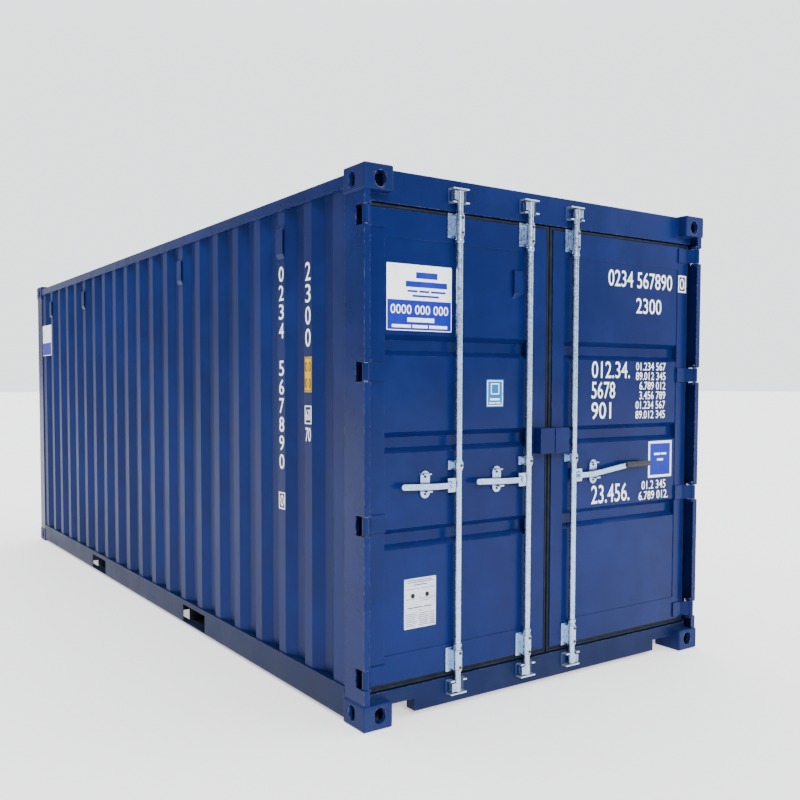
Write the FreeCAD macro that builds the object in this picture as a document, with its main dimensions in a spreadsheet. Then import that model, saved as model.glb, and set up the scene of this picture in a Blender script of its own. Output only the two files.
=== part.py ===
import FreeCAD, Part
import os
import Sketcher

# A 20 ft dry freight container.  X runs to the door end, Y across, Z up from the
# bottom faces of the corner castings.  "Out" below means |y|, away from the middle.
doc = FreeCAD.newDocument("container")
sheet = doc.addObject("Spreadsheet::Sheet", "Sizes")
SIZES = {
    "length": 6058, "width": 2438, "height": 2591,
    # corner castings and their apertures
    "cast_end": 13.5, "cast_side": 40.75, "cast_foot": 13.5, "cast_wall": 10,
    "slot_from_end": 102.5, "slot_from_side": 89.5, "slot_long": 124, "slot_wide": 63.5,
    "cast_skin": 28.5, "cast_round": 8, "side_hole_wide": 51, "hole_tall": 76,
    # frame
    "inset": 6, "post_plate": 6, "post_front": 9, "jamb_back": 117, "jamb_deep": 56,
    "jamb_wide": 43, "lip_wide": 33, "header_drop": 156,
    "sill_low": 20, "sill_high": 150, "front_post": 160, "face_back": 58, "beam_deep": 66,
    "beam_plate": 4, "notch_wide": 172, "notch_tall": 62, "top_rail": 60, "rail_plate": 3,
    "low_rail_tall": 148, "low_rail_deep": 48, "low_rail_low": 18, "low_rail_plate": 4.5,
    # corrugated walls and roof
    "sheet": 2, "wall_inset": 15, "wall_pitch": 278, "wall_depth": 36, "wall_crest": 72,
    "wall_trough": 70, "end_pitch": 250, "end_depth": 45,
    "end_crest": 70, "end_trough": 60, "roof_drop": 28, "roof_rib": 20, "corner_plate": 190,
    "roof_pitch": 209,
    "rib_foot": 75, "rib_crown": 42,
    # floor and under-frame
    "floor_low": 140, "floor_thick": 28, "beam_low": 18, "cross_wide": 45, "cross_first": 160,
    "cross_inner": 370, "cross_step": 285, "cross_plate": 4,
    "pocket_at": 1025, "pocket_wide": 360, "pocket_tall": 113, "pocket_low": 22, "pocket_web": 5,
    "strap_long": 200,
    # doors
    "leaf_front": 60, "panel_back": 4, "leaf_thick": 50, "leaf_side": 20, "seam_edge": 25, "seam_gap": 4,
    "leaf_lift": 34, "leaf_gap": 23, "rail_wide": 130, "stile_outer": 85,
    "stile_left": 125, "stile_right": 87, "tube_plate": 3, "seal_gap": 6, "groove_depth": 30,
    "groove_tall": 100, "groove_slope": 26, "groove_drop": 600, "groove_low": 865, "groove_pitch": 459,
    # hinges
    "pin_back": 27, "pin_side": 21, "pin_r": 10, "knuckle_r": 17, "blade_tall": 82,
    "blade_thick": 8, "blade_reach": 132, "lug_thick": 14, "hinge_foot": 54,
    "hinge_head": 49, "hinge_lower": 950, "hinge_upper": 936,
    # lock rods and their fittings
    "rod_back": 33, "rod_r": 17, "rod_wall": 3, "rod_one_in": 510,
    "rod_two_from": 170, "rod_three_from": 166, "rod_end": 27, "keeper_drop": 83,
    "keeper_sink": 47,
    "barrel_r": 24, "bearing_tall": 120, "bearing_head": 46, "bearing_foot": 54,
    "guide_at": 1203, "hub_at": 1107, "hub_out": 46, "bar_tall": 28, "bar_thick": 10,
    "tip_from_edge": 172, "tip_from_rod": 122, "catch_in": 149, "catch_three": 181,
    "bar_three": 415, "grip_long": 200, "bar_rise": 34,
    # small fittings
    "box_half": 104, "box_low": 1236, "box_high": 1369, "box_deep": 52, "box_plate": 4,
    "vent_wide": 72, "vent_tall": 160, "vent_proud": 13, "vent_drop": 256,
    "door_vent_at": -230, "door_vent_wide": 64, "door_vent_drop": 373, "door_vent_tall": 148,
}


class Size:
    """A length that carries the spreadsheet formula it came from."""

    def __init__(self, value, text=None):
        self.value = float(value)
        self.text = text or repr(round(float(value), 6))

    def join(self, other, sign, swap=False):
        other = other if isinstance(other, Size) else Size(other)
        a, b = (other, self) if swap else (self, other)
        value = {"+": a.value + b.value, "-": a.value - b.value,
                 "*": a.value * b.value}.get(sign)
        if value is None:
            value = a.value / b.value
        return Size(value, f"({a.text} {sign} {b.text})")

    def __add__(self, other):
        return self.join(other, "+")

    def __radd__(self, other):
        return self.join(other, "+", True)

    def __sub__(self, other):
        return self.join(other, "-")

    def __rsub__(self, other):
        return self.join(other, "-", True)

    def __mul__(self, other):
        return self.join(other, "*")

    def __rmul__(self, other):
        return self.join(other, "*", True)

    def __truediv__(self, other):
        return self.join(other, "/")

    def __neg__(self):
        return self.join(0, "-", True)


for row, (alias, number) in enumerate(SIZES.items(), 1):
    sheet.set(f"A{row}", alias)
    sheet.set(f"B{row}", str(number))
    sheet.setAlias(f"B{row}", alias)
doc.recompute()
S = {alias: Size(number, "Sizes." + alias) for alias, number in SIZES.items()}
nodes = []
serial = [0]


def size(thing):
    return thing if isinstance(thing, Size) else Size(thing)


def add(kind, name):
    """A new object with a name of its own."""
    serial[0] += 1
    return doc.addObject(kind, f"{name}_{serial[0]}")


def bind(obj, path, value):
    obj.setExpression(path, size(value).text)


def box(name, x, y, z):
    """A block between two planes along each axis."""
    obj = add("Part::Box", name)
    for side, letter, (low, high) in zip(("Length", "Width", "Height"), "xyz", (x, y, z)):
        bind(obj, side, size(high) - low)
        bind(obj, "Placement.Base." + letter, low)
    return obj


def rod(name, axis, centre, radius, low, high):
    """A cylinder along an axis; centre holds the other two coordinates in order."""
    obj = add("Part::Cylinder", name)
    turn = {"x": ((0, 1, 0), 90), "y": ((1, 0, 0), -90), "z": ((0, 0, 1), 0)}[axis]
    obj.Placement.Rotation = FreeCAD.Rotation(FreeCAD.Vector(*turn[0]), turn[1])
    bind(obj, "Radius", radius)
    bind(obj, "Height", size(high) - low)
    rest = [letter for letter in "xyz" if letter != axis]
    for letter, value in zip(rest, centre):
        bind(obj, "Placement.Base." + letter, value)
    bind(obj, "Placement.Base." + axis, low)
    return obj


def sketch(body, name, plane, points, offset):
    """A closed outline on one of the body's own planes, every corner bound to the sheet."""
    flat = add("Sketcher::SketchObject", name)
    body.addObject(flat)
    role = {"XY": "XY_Plane", "XZ": "XZ_Plane", "YZ": "YZ_Plane"}[plane]
    host = [f for f in body.Origin.OriginFeatures if f.Role == role][0]
    flat.AttachmentSupport = [(host, "")]
    flat.MapMode = "FlatFace"
    bind(flat, "AttachmentOffset.Base.z", offset)
    corners = [(size(u), size(v)) for u, v in points]
    spots = [FreeCAD.Vector(u.value, v.value, 0) for u, v in corners]
    flat.addGeometry([Part.LineSegment(spots[i], spots[(i + 1) % len(spots)])
                      for i in range(len(spots))], False)
    for i, corner in enumerate(corners):
        flat.addConstraint(Sketcher.Constraint("Coincident", i - 1 if i else len(corners) - 1,
                                               2, i, 1))
        for kind, value in zip(("DistanceX", "DistanceY"), corner):
            at = flat.addConstraint(Sketcher.Constraint(kind, -1, 1, i, 1, value.value))
            flat.setExpression(f"Constraints[{at}]", value.text)
    return flat


def prism(name, plane, points, low, high):
    """An outline padded between two planes, as a body of its own."""
    body = add("PartDesign::Body", name)
    offset = -size(high) if plane == "XZ" else size(low)
    outline = sketch(body, name + "_outline", plane, points, offset)
    pad = add("PartDesign::Pad", name + "_pad")
    body.addObject(pad)
    pad.Profile = outline
    bind(pad, "Length", size(high) - low)
    body.Tip = pad
    outline.Visibility = False
    return body


def round_over(body, radius):
    """Rounds every edge of the body's block."""
    finish = add("PartDesign::Fillet", "rounding")
    block = body.Tip
    body.addObject(finish)
    doc.recompute()
    finish.Base = (block, [f"Edge{i + 1}" for i in range(len(block.Shape.Edges))])
    bind(finish, "Radius", radius)
    body.Tip = finish


def repeat(body, axis, length, count):
    """Repeat a body's pad evenly along one of its axes."""
    pattern = add("PartDesign::LinearPattern", "pattern")
    pad = body.Tip
    body.addObject(pattern)
    pattern.Originals = [pad]
    host = [f for f in body.Origin.OriginFeatures if f.Role == axis + "_Axis"][0]
    pattern.Direction = (host, [""])
    bind(pattern, "Length", length)
    bind(pattern, "Occurrences", count)
    body.Tip = pattern
    return body


def fuse(name, shapes):
    obj = add("Part::MultiFuse", name)
    obj.Shapes = shapes
    obj.Refine = True
    return obj


def cut(name, base, tools):
    obj = add("Part::Cut", name)
    obj.Base = base
    obj.Tool = tools[0] if len(tools) == 1 else fuse(name + "_tools", tools)
    obj.Refine = True
    return obj


def group(name, shapes):
    obj = add("Part::Compound", name)
    obj.Links = shapes
    return obj


def mirror(name, source, axis, at=0):
    """The source seen in a plane square to an axis."""
    obj = add("Part::Mirroring", name)
    obj.Source = source
    obj.Normal = FreeCAD.Vector(*[float(letter == axis) for letter in "xyz"])
    bind(obj, "Base." + axis, at)
    return obj


def slot(name, axis, centre, wide, tall, low, high):
    """A straight slot with round ends, long along its second cross direction."""
    radius = size(wide) / 2
    run = (size(tall) - wide) / 2
    u, v = centre
    ends = [rod(name, axis, (u, v + side * run), radius, low, high) for side in (-1, 1)]
    spans = {"x": [(low, high), (u - radius, u + radius), (v - run, v + run)],
             "y": [(u - radius, u + radius), (low, high), (v - run, v + run)],
             "z": [(u - radius, u + radius), (v - run, v + run), (low, high)]}[axis]
    return fuse(name, ends + [box(name, *spans)])


def node(label, obj):
    """The finished piece, exported under this name."""
    obj.Label = label
    nodes.append(obj)
    return obj


half_long, half_wide = S["length"] / 2, S["width"] / 2
skin_out = half_wide - S["inset"]
opening_half = skin_out - S["jamb_wide"]
header_low, header_high = S["height"] - S["header_drop"], S["height"] - S["inset"]
roof_low = S["height"] - S["roof_drop"]
leaf_edge = opening_half - S["leaf_side"]
leaf_low, leaf_high = S["sill_high"] + S["leaf_lift"], header_low - S["leaf_gap"]
pin_out = skin_out - S["pin_side"]

# Corner castings: one hollow casting at the door end, right, top; the rest mirror it.
slot_x, slot_y = half_long - S["slot_from_end"], half_wide - S["slot_from_side"]
end_in = slot_x - S["slot_long"] / 2 - S["cast_end"]
side_in = slot_y - S["slot_wide"] / 2 - S["cast_side"]
cast_tall = S["cast_skin"] + S["hole_tall"] + S["cast_foot"]
top_in = S["height"] - cast_tall
casting_block = prism("casting", "XY", [(end_in, side_in), (half_long, side_in),
                                        (half_long, half_wide), (end_in, half_wide)],
                      top_in, S["height"])
round_over(casting_block, S["cast_round"])
casting_hollow = box("hollow", (end_in + S["cast_wall"], half_long - 24),
                     (side_in + S["cast_wall"], half_wide - 22),
                     (top_in + S["cast_wall"], S["height"] - S["cast_skin"]))
half_slot, slot_run = S["slot_wide"] / 2, (S["slot_long"] - S["slot_wide"]) / 2
skin = (S["height"] - S["cast_skin"] - 1, S["height"] + 1)
top_slot = fuse("top_slot", [
    rod("slot_end", "z", (slot_x - slot_run, slot_y), half_slot, *skin),
    rod("slot_end", "z", (slot_x + slot_run, slot_y), half_slot, *skin),
    box("slot_mid", (slot_x - slot_run, slot_x + slot_run), (slot_y - half_slot, slot_y + half_slot),
        skin)])
hole_z = S["height"] - S["cast_skin"] - S["hole_tall"] / 2
side_hole = slot("side_hole", "y", (slot_x, hole_z), S["side_hole_wide"], S["hole_tall"],
                 half_wide - 30, half_wide + 1)
end_hole = slot("end_hole", "x", (slot_y, hole_z), S["slot_wide"], S["hole_tall"],
                half_long - 30, half_long + 1)
casting = cut("casting_cut", casting_block, [casting_hollow, top_slot, side_hole, end_hole])
casting_pair = group("casting_pair", [casting, mirror("casting_left", casting, "y")])
castings = group("castings", [casting_pair, mirror("castings_front", casting_pair, "x")])
node("top_corner_castings", castings)
low_casting = mirror("casting_low", casting, "z", S["height"] / 2)
front_pair = mirror("pair_front", casting_pair, "x")
node("bottom_corner_castings", group("castings_low", [
    low_casting, mirror("castings_low_front", front_pair, "z", S["height"] / 2)]))
node("left_sill_casting", mirror("casting_low_left", low_casting, "y"))

# Rear posts: outer plate with a turned lip, a boxed jamb and four hinge notches.
skin_in = skin_out - S["post_plate"]
post_rear = half_long - S["post_front"]
jamb_rear = half_long - S["jamb_back"]
jamb_front = jamb_rear - S["jamb_deep"]
face = half_long - S["face_back"]
beam_back = face - S["beam_deep"]
pin_x = half_long - S["pin_back"]
wall = S["post_plate"]
post_z = (cast_tall, top_in)
post_shell = prism("post", "XY", [
    (jamb_front, opening_half), (jamb_rear, opening_half),
    (jamb_rear, skin_in), (post_rear - wall, skin_in),
    (post_rear - wall, skin_out - S["lip_wide"]), (post_rear, skin_out - S["lip_wide"]),
    (post_rear, skin_out), (jamb_front, skin_out)], *post_z)
jamb_hollow = box("jamb_hollow", (jamb_front + wall, jamb_rear - wall),
                  (opening_half + wall, skin_in), (post_z[0] - 1, post_z[1] + 1))
door_stop = box("door_stop", (beam_back - 4, beam_back),
                (opening_half - 20, opening_half + 3), post_z)
hinge_heights = [leaf_low + S["hinge_foot"], S["hinge_lower"], S["height"] - S["hinge_upper"],
                 leaf_high - S["hinge_head"]]
notch_half = S["blade_tall"] / 2 + 5
notches = [box("notch", (pin_x - 54, post_rear + 1), (opening_half + 5, skin_out + 1),
               (height - notch_half, height + notch_half)) for height in hinge_heights]
post_plain = fuse("post_joined", [post_shell, door_stop])
post = cut("post_cut", post_plain, [jamb_hollow] + notches)
node("rear_post_right", post)
node("rear_post_left", mirror("post_left", post, "y"))

# Front posts: an angle of plate behind each front casting.
front_face = -half_long + S["inset"]
front_out = prism("front_post", "XY", [
    (front_face, skin_out - 150), (front_face, skin_out), (front_face + S["front_post"], skin_out),
    (front_face + S["front_post"], skin_out - 50), (front_face + S["front_post"] - wall, skin_out - 50),
    (front_face + S["front_post"] - wall, skin_in), (front_face + wall, skin_in),
    (front_face + wall, skin_out - 150)], *post_z)
node("front_posts", group("front_pair", [front_out, mirror("front_left", front_out, "y")]))

# Door header and sill: hollow beams between the castings, set back from their faces.
beam_x = (beam_back, face)


def hollow_beam(name, x, y, z, plate):
    """A square tube along y."""
    outer = box(name, x, y, z)
    inner = box(name + "_hollow", (x[0] + plate, x[1] - plate), (y[0] - 1, y[1] + 1),
                (z[0] + plate, z[1] - plate))
    return cut(name + "_tube", outer, [inner])


beam_y = (-side_in, side_in)
header_tube = hollow_beam("header", beam_x, beam_y, (header_low, header_high),
                          S["beam_plate"])
header_ends = [box("header_end", beam_x, (side_in, opening_half), (header_low, top_in)),
               box("header_end", beam_x, (-opening_half, -side_in),
                   (header_low, top_in))]
node("door_header", fuse("header_all", [header_tube] + header_ends))
sill_tube = hollow_beam("sill", beam_x, beam_y, (S["sill_low"], S["sill_high"]), S["beam_plate"])
sill_ends = [box("sill_end", beam_x, (side_in, opening_half),
                 (cast_tall, S["sill_high"])),
             box("sill_end", beam_x, (-opening_half, -side_in),
                 (cast_tall, S["sill_high"]))]
notch_z = (S["sill_low"] - 1, S["sill_low"] + S["notch_tall"])
notch_x = (beam_x[0] - 1, face + 1)
sill_notches = [box("sill_notch", notch_x, (side_in - S["notch_wide"], side_in + 1), notch_z),
                box("sill_notch", notch_x, (-side_in - 1, S["notch_wide"] - side_in), notch_z)]
notch_roofs = [box("notch_roof", beam_x, (side_in - S["notch_wide"] - 4, side_in),
                   (notch_z[1], notch_z[1] + 4)),
               box("notch_roof", beam_x, (-side_in, S["notch_wide"] + 4 - side_in),
                   (notch_z[1], notch_z[1] + 4)),
               box("notch_side", beam_x,
                   (side_in - S["notch_wide"] - 4, side_in - S["notch_wide"]),
                   (S["sill_low"], notch_z[1] + 2)),
               box("notch_side", beam_x,
                   (S["notch_wide"] - side_in, S["notch_wide"] + 4 - side_in),
                   (S["sill_low"], notch_z[1] + 2))]
floor_high = S["floor_low"] + S["floor_thick"]
threshold = box("threshold", (beam_x[0] - 6, beam_x[0] + 4), (-opening_half + 24,
                opening_half - 24), (S["floor_low"], floor_high))
sill_cut = cut("sill_cut", sill_tube, sill_notches)
node("door_sill", fuse("sill_all", [sill_cut, threshold] + sill_ends + notch_roofs))

# Front end rails: tubes between the front castings.
rail_x = (front_face, front_face + S["top_rail"])
node("front_top_rail", hollow_beam("front_top", rail_x, beam_y,
                                   (S["height"] - S["inset"] - S["top_rail"], S["height"] - S["inset"]),
                                   S["rail_plate"]))
node("front_bottom_rail", hollow_beam("front_low", rail_x, beam_y,
                                      (S["low_rail_low"], S["low_rail_low"] + S["low_rail_tall"]),
                                      S["beam_plate"]))

# Side rails: a square tube above, a channel open to the inside below.
rail_run = (-end_in, end_in)
top_rail_z = (roof_low - S["top_rail"], roof_low)
rail_out = (skin_out - S["top_rail"], skin_out)
top_rail_block = box("top_rail", rail_run, rail_out, top_rail_z)
top_rail_hollow = box("top_rail_hollow", (-end_in - 1, end_in + 1),
                      (rail_out[0] + S["rail_plate"], rail_out[1] - S["rail_plate"]),
                      (top_rail_z[0] + S["rail_plate"], top_rail_z[1] - S["rail_plate"]))
top_rail = cut("top_rail_tube", top_rail_block, [top_rail_hollow])
node("top_side_rails", group("top_rails", [top_rail, mirror("top_rail_left", top_rail, "y")]))

low_in = skin_out - S["low_rail_deep"]
low_z = (S["low_rail_low"], S["low_rail_low"] + S["low_rail_tall"])
plate = S["low_rail_plate"]
low_rail = prism("low_rail", "YZ", [
    (low_in, low_z[0]), (skin_out, low_z[0]), (skin_out, low_z[1]), (low_in, low_z[1]),
    (low_in, low_z[1] - plate), (skin_out - plate, low_z[1] - plate),
    (skin_out - plate, low_z[0] + plate), (low_in, low_z[0] + plate)], *rail_run)
pocket_z = (S["pocket_low"], S["pocket_low"] + S["pocket_tall"])
pocket_half = S["pocket_wide"] / 2
pocket_x = [(side * S["pocket_at"] - pocket_half, side * S["pocket_at"] + pocket_half)
            for side in (-1, 1)]
mouth_rooms = [box("mouth_room", span, (low_in - 1, skin_out + 1), (low_z[0] - 1, low_z[1] + 1))
               for span in pocket_x]
low_lengths = cut("low_lengths", low_rail, mouth_rooms)
node("bottom_side_rails", group("low_rails", [low_lengths,
                                              mirror("low_rail_left", low_lengths, "y")]))

# Pocket mouths: the angle over each pocket and the flat strap under it.
mouths = []
for span in pocket_x:
    mouths.append(prism("mouth_angle", "YZ", [
        (skin_out - plate, pocket_z[1]), (skin_out, pocket_z[1]), (skin_out, low_z[1]),
        (low_in, low_z[1]), (low_in, low_z[1] - plate), (skin_out - plate, low_z[1] - plate)],
        *span))
    mouths.append(box("mouth_strap", span, (low_in, skin_out), (low_z[0], low_z[0] + plate)))
mouth_set = group("mouth_set", mouths)
node("pocket_mouths", group("mouths_all", [mouth_set, mirror("mouths_left", mouth_set, "y")]))


def corrugation(name, plane, crest, trough, pitch, depth, outer, low, high, turned=1):
    """One wave of folded sheet, centred on its trough, crest to crest."""
    slope = (pitch - crest - trough) / 2
    marks = [-pitch / 2, -pitch / 2 + crest / 2, -trough / 2, trough / 2,
             pitch / 2 - crest / 2, pitch / 2]
    levels = [outer, outer, outer - depth, outer - depth, outer, outer]
    sheet_in = [level - S["sheet"] for level in levels]
    outline = list(zip(marks, levels)) + list(zip(marks, sheet_in))[::-1]
    if plane == "YX":
        outline = [(v * turned, u) for u, v in outline]
    return prism(name, "XY", outline, low, high)


def whole(number):
    """The sheet's floor() of a number, kept as a formula."""
    return Size(int(number.value), f"floor({number.text})")


# Side walls: folded sheet between the rails, trough next to each end flat.
wall_out = half_wide - S["wall_inset"]
wall_z = (low_z[1], top_rail_z[0])
wave_count = whole(2 * end_in / S["wall_pitch"])
wave = corrugation("wave", "XY", S["wall_crest"], S["wall_trough"], S["wall_pitch"],
                   S["wall_depth"], wall_out, *wall_z)
repeat(wave, "X", S["wall_pitch"] * (wave_count - 1), wave_count)
wave_from = -S["wall_pitch"] * (wave_count - 1) / 2
bind(wave, "Placement.Base.x", wave_from)
wave_end = S["wall_pitch"] * wave_count / 2
skin_y = (wall_out - S["sheet"], wall_out)
wall_ends = [box("wall_end", span, skin_y, wall_z)
             for span in ((wave_end, end_in), (-end_in, -wave_end))]
wall_ends += [box("wall_end", span, skin_y, (wall_z[0], top_in))
              for span in ((end_in, jamb_front), (front_face + S["front_post"], -end_in))]
side_wall = fuse("side_wall", [wave] + wall_ends)
node("side_wall_right", side_wall)
node("side_wall_left", mirror("side_wall_mirror", side_wall, "y"))

# Front wall: the same sheet with deeper folds across the closed end.
end_out = -half_long + S["wall_inset"]
end_z = (low_z[1], S["height"] - S["inset"] - S["top_rail"])
end_count = whole(2 * skin_in / S["end_pitch"])
end_wave = corrugation("end_wave", "YX", S["end_crest"], S["end_trough"], S["end_pitch"],
                       S["end_depth"], -end_out, *end_z, turned=-1)
repeat(end_wave, "Y", S["end_pitch"] * (end_count - 1), end_count)
bind(end_wave, "Placement.Base.y", -S["end_pitch"] * (end_count - 1) / 2)
end_half = S["end_pitch"] * end_count / 2
end_edges = [box("end_edge", (end_out, end_out + S["sheet"]), span, end_z)
             for span in ((end_half, skin_in), (-skin_in, -end_half))]
casting_room = [box("casting_room", (end_out - 1, end_out + 60), span, (top_in, S["height"]))
                for span in ((side_in, half_wide), (-half_wide, -side_in))]
front_sheet = fuse("front_sheet", [end_wave] + end_edges)
node("front_wall", cut("front_wall_cut", front_sheet, casting_room))

# Roof: flat sheet with pressed ribs that stop short of the rails.
roof_z = (roof_low, roof_low + S["sheet"])
roof_sheet = fuse("roof_sheet", [
    box("roof_middle", (-end_in, end_in), (-skin_in, skin_in), roof_z),
    box("roof_ends", (front_face + S["top_rail"], beam_x[0]), (-side_in, side_in), roof_z)])


def rib(name, drop, lift, shrink):
    """A long low frustum across the roof."""
    obj = add("Part::Wedge", name)
    low_half, high_half = S["rib_foot"], S["rib_crown"]
    far, near = opening_half - 60, opening_half - 100
    for key, value in (("Xmin", -low_half + shrink), ("Xmax", low_half - shrink),
                       ("Zmin", -far + shrink), ("Zmax", far - shrink),
                       ("X2min", -high_half + shrink), ("X2max", high_half - shrink),
                       ("Z2min", -near + shrink), ("Z2max", near - shrink),
                       ("Ymin", drop), ("Ymax", lift)):
        bind(obj, key, value)
    obj.Placement.Rotation = FreeCAD.Rotation(FreeCAD.Vector(1, 0, 0), 90)
    return obj


rib_count = whole((end_in - S["corner_plate"]) * 2 / S["roof_pitch"])
rib_from = -S["roof_pitch"] * (rib_count - 1) / 2
ribs, dents = [], []
for index in range(int(rib_count.value)):
    for shapes, shape in ((ribs, rib("rib", 0, S["roof_rib"] + S["sheet"], 0)),
                          (dents, rib("dent", -0.5, S["roof_rib"], S["sheet"]))):
        bind(shape, "Placement.Base.x", rib_from + S["roof_pitch"] * index)
        bind(shape, "Placement.Base.z", roof_low)
        shapes.append(shape)
roof = cut("roof_cut", fuse("roof_ribbed", [roof_sheet] + ribs), dents)
node("roof_panel", roof)

# Roof corner plates: doubling plates on the roof beside the top castings.
corner_plate = box("corner_plate", (end_in - S["corner_plate"], end_in), (side_in - 150, side_in + 100),
                   (roof_low + S["sheet"], roof_low + S["sheet"] + 3))

# Under-frame: channel cross members clear of the fork pockets.
cross_z = (S["beam_low"], S["floor_low"])
cross_y = (-low_in, low_in)
web = S["cross_plate"]
cross_at = [S["cross_first"], S["cross_first"] + S["cross_inner"]]
cross_from = S["pocket_at"] + pocket_half
cross_count = int((end_in - cross_from).value / S["cross_step"].value)
cross_at += [cross_from + S["cross_step"] * (step + 1) for step in range(cross_count)]
members = []
for spot in cross_at:
    left = prism("cross", "XZ", [
        (spot, cross_z[0]), (spot + S["cross_wide"], cross_z[0]),
        (spot + S["cross_wide"], cross_z[0] + web), (spot + web, cross_z[0] + web),
        (spot + web, cross_z[1] - web), (spot + S["cross_wide"], cross_z[1] - web),
        (spot + S["cross_wide"], cross_z[1]), (spot, cross_z[1])], *cross_y)
    members += [left, mirror("cross_front", left, "x")]
node("floor_crossmembers", group("crossmembers", members))

# Fork pockets: two webs, a plate over them and a strap under each end.
tunnels = []
for low, high in pocket_x:
    tunnels += [box("pocket_web", web_x, cross_y, cross_z)
                for web_x in ((low - S["pocket_web"], low), (high, high + S["pocket_web"]))]
    tunnels.append(box("pocket_roof", (low, high), cross_y, (pocket_z[1], S["floor_low"])))
    tunnels += [box("pocket_strap", (low, high), strap_y, (S["beam_low"], pocket_z[0]))
                for strap_y in ((-low_in, S["strap_long"] - low_in),
                                (low_in - S["strap_long"], low_in))]
node("fork_pockets", group("pockets", tunnels))

# Floor: plywood on the cross members, with a steel strip down the middle.
floor_x = (front_face + S["top_rail"] + 4, beam_x[0] - 6)
floor_y = (-(wall_out - S["wall_depth"] - 12), wall_out - S["wall_depth"] - 12)
node("plywood_floor", box("floor", floor_x, floor_y, (S["floor_low"], floor_high)))

# Hinge lugs and pins on the rear posts.
lug_gap = S["blade_tall"] / 2 + 2
lug_x, lug_y = (pin_x - 22, post_rear - wall), (skin_in - 37, skin_in)
lugs, pins = [], []
for height in hinge_heights:
    for low in (height + lug_gap, height - lug_gap - S["lug_thick"]):
        plate_block = box("lug", lug_x, lug_y, (low, low + S["lug_thick"]))
        bore = rod("lug_bore", "z", (pin_x, pin_out), S["pin_r"] + 0.3, low - 1,
                   low + S["lug_thick"] + 1)
        lugs.append(cut("lug_cut", plate_block, [bore]))
    reach = lug_gap + S["lug_thick"]
    pins.append(fuse("pin", [
        rod("pin_shank", "z", (pin_x, pin_out), S["pin_r"], height - reach, height + reach),
        rod("pin_head", "z", (pin_x, pin_out), S["pin_r"] + 1.5, height + reach,
            height + reach + 4)]))
lug_set, pin_set = group("lug_set", lugs), group("pin_set", pins)
node("hinge_lugs", group("lugs_all", [lug_set, mirror("lugs_left", lug_set, "y")]))
node("hinge_pins", group("pins_all", [pin_set, mirror("pins_left", pin_set, "y")]))

# Cam keepers: a plate with two shelves on the header and the sill at each rod.
rods_y = [S["rod_one_in"] - leaf_edge, -S["rod_two_from"], S["rod_three_from"]]
keeper_high, keeper_low = S["height"] - S["keeper_drop"], S["sill_high"] - S["keeper_sink"]
bearing_high, bearing_low = leaf_high - S["bearing_head"], leaf_low + S["bearing_foot"]
rod_x = half_long - S["rod_back"]
keepers = []
for spot in rods_y:
    middle = keeper_high
    keepers.append(fuse("keeper", [
        box("keeper_plate", (face, face + 4), (spot - 58, spot + 58), (middle - 36, middle + 36)),
        box("keeper_top", (face, rod_x + 14), (spot - 50, spot + 50), (middle + 29, middle + 36)),
        box("keeper_tab", (face, rod_x + 14), (spot - 50, spot - 28), (middle - 36, middle - 29)),
        box("keeper_tab", (face, rod_x + 14), (spot + 28, spot + 50), (middle - 36, middle - 29)),
    ]))
keeper_set = group("keeper_set", keepers)
keeper_mid = (keeper_high + keeper_low) / 2
node("cam_keepers", group("keepers_all", [keeper_set,
                                          mirror("keepers_low", keeper_set, "z", keeper_mid)]))

# Side vents: small hoods on the crests under the top rail.
vents = []
vent_mid = S["height"] - S["vent_drop"]
half_count = wave_count / 2
for step in (half_count - 2, half_count - 7, 5 - half_count, 1 - half_count):
    mid = S["wall_pitch"] * step
    hood = prism("hood", "YZ", [
        (wall_out, vent_mid - S["vent_tall"] / 2),
        (wall_out + S["vent_proud"], vent_mid - S["vent_tall"] / 2 + 24),
        (wall_out + S["vent_proud"], vent_mid + S["vent_tall"] / 2 - 10),
        (wall_out, vent_mid + S["vent_tall"] / 2)],
        mid - S["vent_wide"] / 2, mid + S["vent_wide"] / 2)
    inside = box("hood_hollow", (mid - S["vent_wide"] / 2 + 3, mid + S["vent_wide"] / 2 + 1),
                 (wall_out - 1, wall_out + S["vent_proud"] - 3),
                 (vent_mid - S["vent_tall"] / 2 + 28, vent_mid + S["vent_tall"] / 2 - 16))
    vents.append(cut("vent", hood, [inside]))
vent_set = group("vent_set", vents)
node("side_vents", group("vents_all", [vent_set, mirror("vents_left", vent_set, "y")]))


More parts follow.
